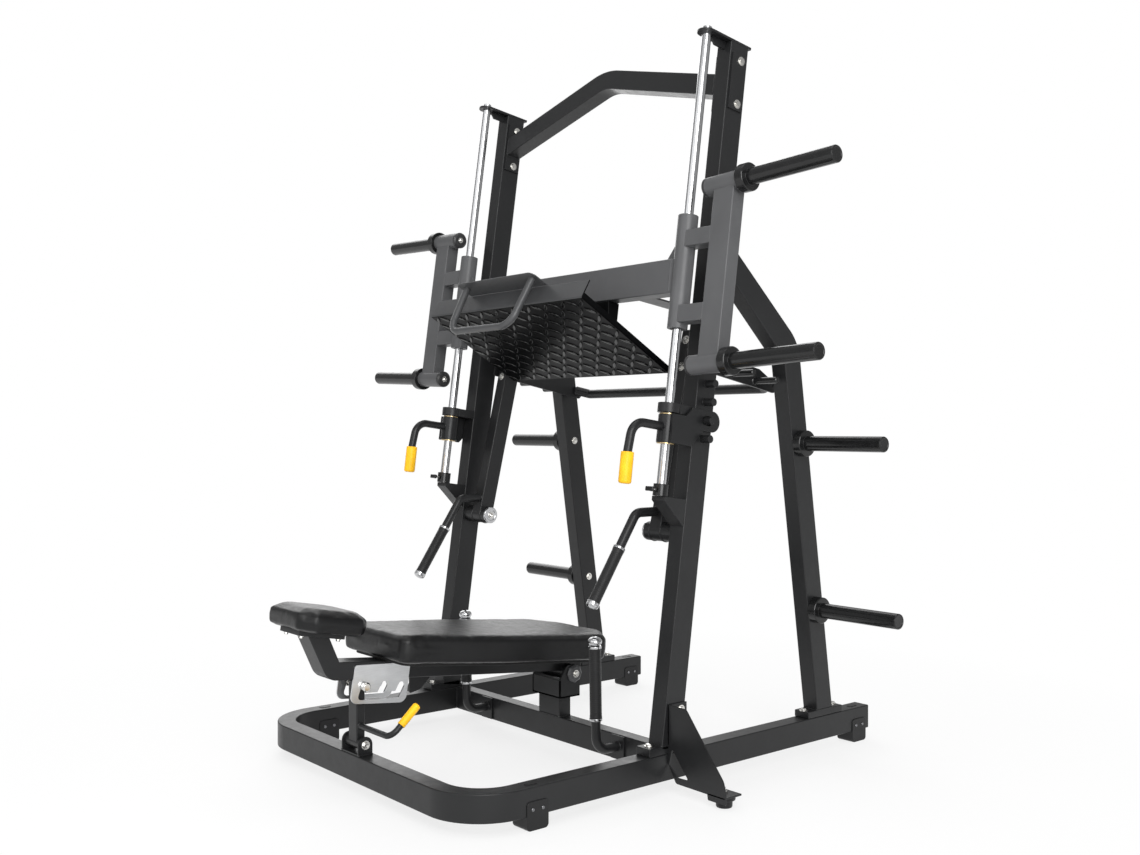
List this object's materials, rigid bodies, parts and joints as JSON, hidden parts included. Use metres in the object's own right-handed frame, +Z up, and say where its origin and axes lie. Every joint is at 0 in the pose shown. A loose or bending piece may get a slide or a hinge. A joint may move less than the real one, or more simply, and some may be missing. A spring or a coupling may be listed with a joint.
{
  "type": "vertical leg press",
  "caption": "Free-standing strength training machine: a tilted bench under a chequered foot plate on a carriage that slides on leaning guide rods, with plate horns and safety stops.",
  "frame": {"origin": "on the floor, at the centre of the machine's bounding box", "axes": "+X to the user's left when lying on the bench, across the machine; +Y from the head pad towards the rear legs; +Z up"},
  "size_m": [2.28, 1.9422, 2.3566],
  "materials": {
    "frame_coat": "satin",
    "carriage_coat": "satin",
    "chrome": "polished",
    "black_plastic": "satin",
    "black_rubber": "matte",
    "yellow_grip": "matte",
    "vinyl": "satin",
    "silver_coat": "satin",
    "tread": "satin",
    "bush_plastic": "satin"
  },
  "bodies": {
    "frame": {"base_frame": "frame_coat", "crossbar": "frame_coat", "top_crossbar": "frame_coat", "bench_post": "frame_coat", "support_bracket": "frame_coat", "upright_R": "frame_coat", "upright_L": "frame_coat", "rear_leg_R": "frame_coat", "rear_leg_L": "frame_coat", "outrigger_R": "frame_coat", "outrigger_L": "frame_coat", "levelling_foot_R": "black_rubber", "levelling_foot_L": "black_rubber", "shoe_front_R": "black_plastic", "shoe_front_L": "black_plastic", "shoe_rear_R": "black_plastic", "shoe_rear_L": "black_plastic", "guide_rod_R": "chrome", "guide_rod_L": "chrome", "rod_clamp_R": "black_plastic", "rod_clamp_L": "black_plastic", "storage_horn_upper_R": "black_plastic", "storage_horn_upper_L": "black_plastic", "storage_horn_lower_R": "black_plastic", "storage_horn_lower_L": "black_plastic", "grab_handle_R": "frame_coat", "grab_handle_L": "frame_coat", "grab_grip_R": "black_rubber", "grab_grip_L": "black_rubber", "swing_axle_R": "chrome", "swing_axle_L": "chrome"},
    "carriage": {"carriage_beam": "carriage_coat", "foot_plate": "tread", "pull_handle": "carriage_coat", "carriage_sleeve_R": "carriage_coat", "carriage_sleeve_L": "carriage_coat", "rod_bush_R": "bush_plastic", "rod_bush_L": "bush_plastic", "side_frame_R": "carriage_coat", "side_frame_L": "carriage_coat", "load_horn_upper_R": "black_plastic", "load_horn_upper_L": "black_plastic", "load_horn_lower_R": "black_plastic", "load_horn_lower_L": "black_plastic"},
    "swing_frame": {"swing_cross_tube": "frame_coat", "swing_arm_R": "frame_coat", "swing_arm_L": "frame_coat", "swing_grip_R": "black_rubber", "swing_grip_L": "black_rubber"},
    "stop_right": {"stop_R": "frame_coat", "stop_grip_R": "yellow_grip"},
    "stop_left": {"stop_L": "frame_coat", "stop_grip_L": "yellow_grip"},
    "bench": {"bench_spine": "frame_coat", "head_pad": "vinyl", "back_pad": "vinyl", "slotted_plate_R": "silver_coat", "slotted_plate_L": "silver_coat"},
    "support": {"bench_support": "frame_coat", "support_grip": "yellow_grip"}
  },
  "joints": [
    {"name": "carriage_slide", "type": "slide", "parent": "frame", "child": "carriage", "axis": [0, 0.1392, 0.9903], "range_m": [-0.225, 0.555]},
    {"name": "swing_hinge", "type": "hinge", "parent": "frame", "child": "swing_frame", "pos_m": [0, 0.0826, 0.769], "axis": [1, 0, 0], "range_deg": [0, 14]},
    {"name": "stop_right_hinge", "type": "hinge", "parent": "frame", "child": "stop_right", "pos_m": [0.584, 0.00716, 1.09056], "axis": [0, -0.1392, -0.9903], "range_deg": [0, 90]},
    {"name": "stop_left_hinge", "type": "hinge", "parent": "frame", "child": "stop_left", "pos_m": [-0.584, 0.00716, 1.09056], "axis": [0, 0.1392, 0.9903], "range_deg": [0, 90]},
    {"name": "bench_tilt", "type": "hinge", "parent": "frame", "child": "bench", "pos_m": [0, 0.0665, 0.263], "axis": [-1, 0, 0], "range_deg": [0, 2.1]},
    {"name": "support_swing", "type": "hinge", "parent": "frame", "child": "support", "pos_m": [0, -0.7229, 0.149], "axis": [1, 0, 0], "range_deg": [0, 2.9]}
  ],
  "couplings": [
    {"joint": "support_swing", "follows": "bench_tilt", "ratio": 1.36}
  ]
}
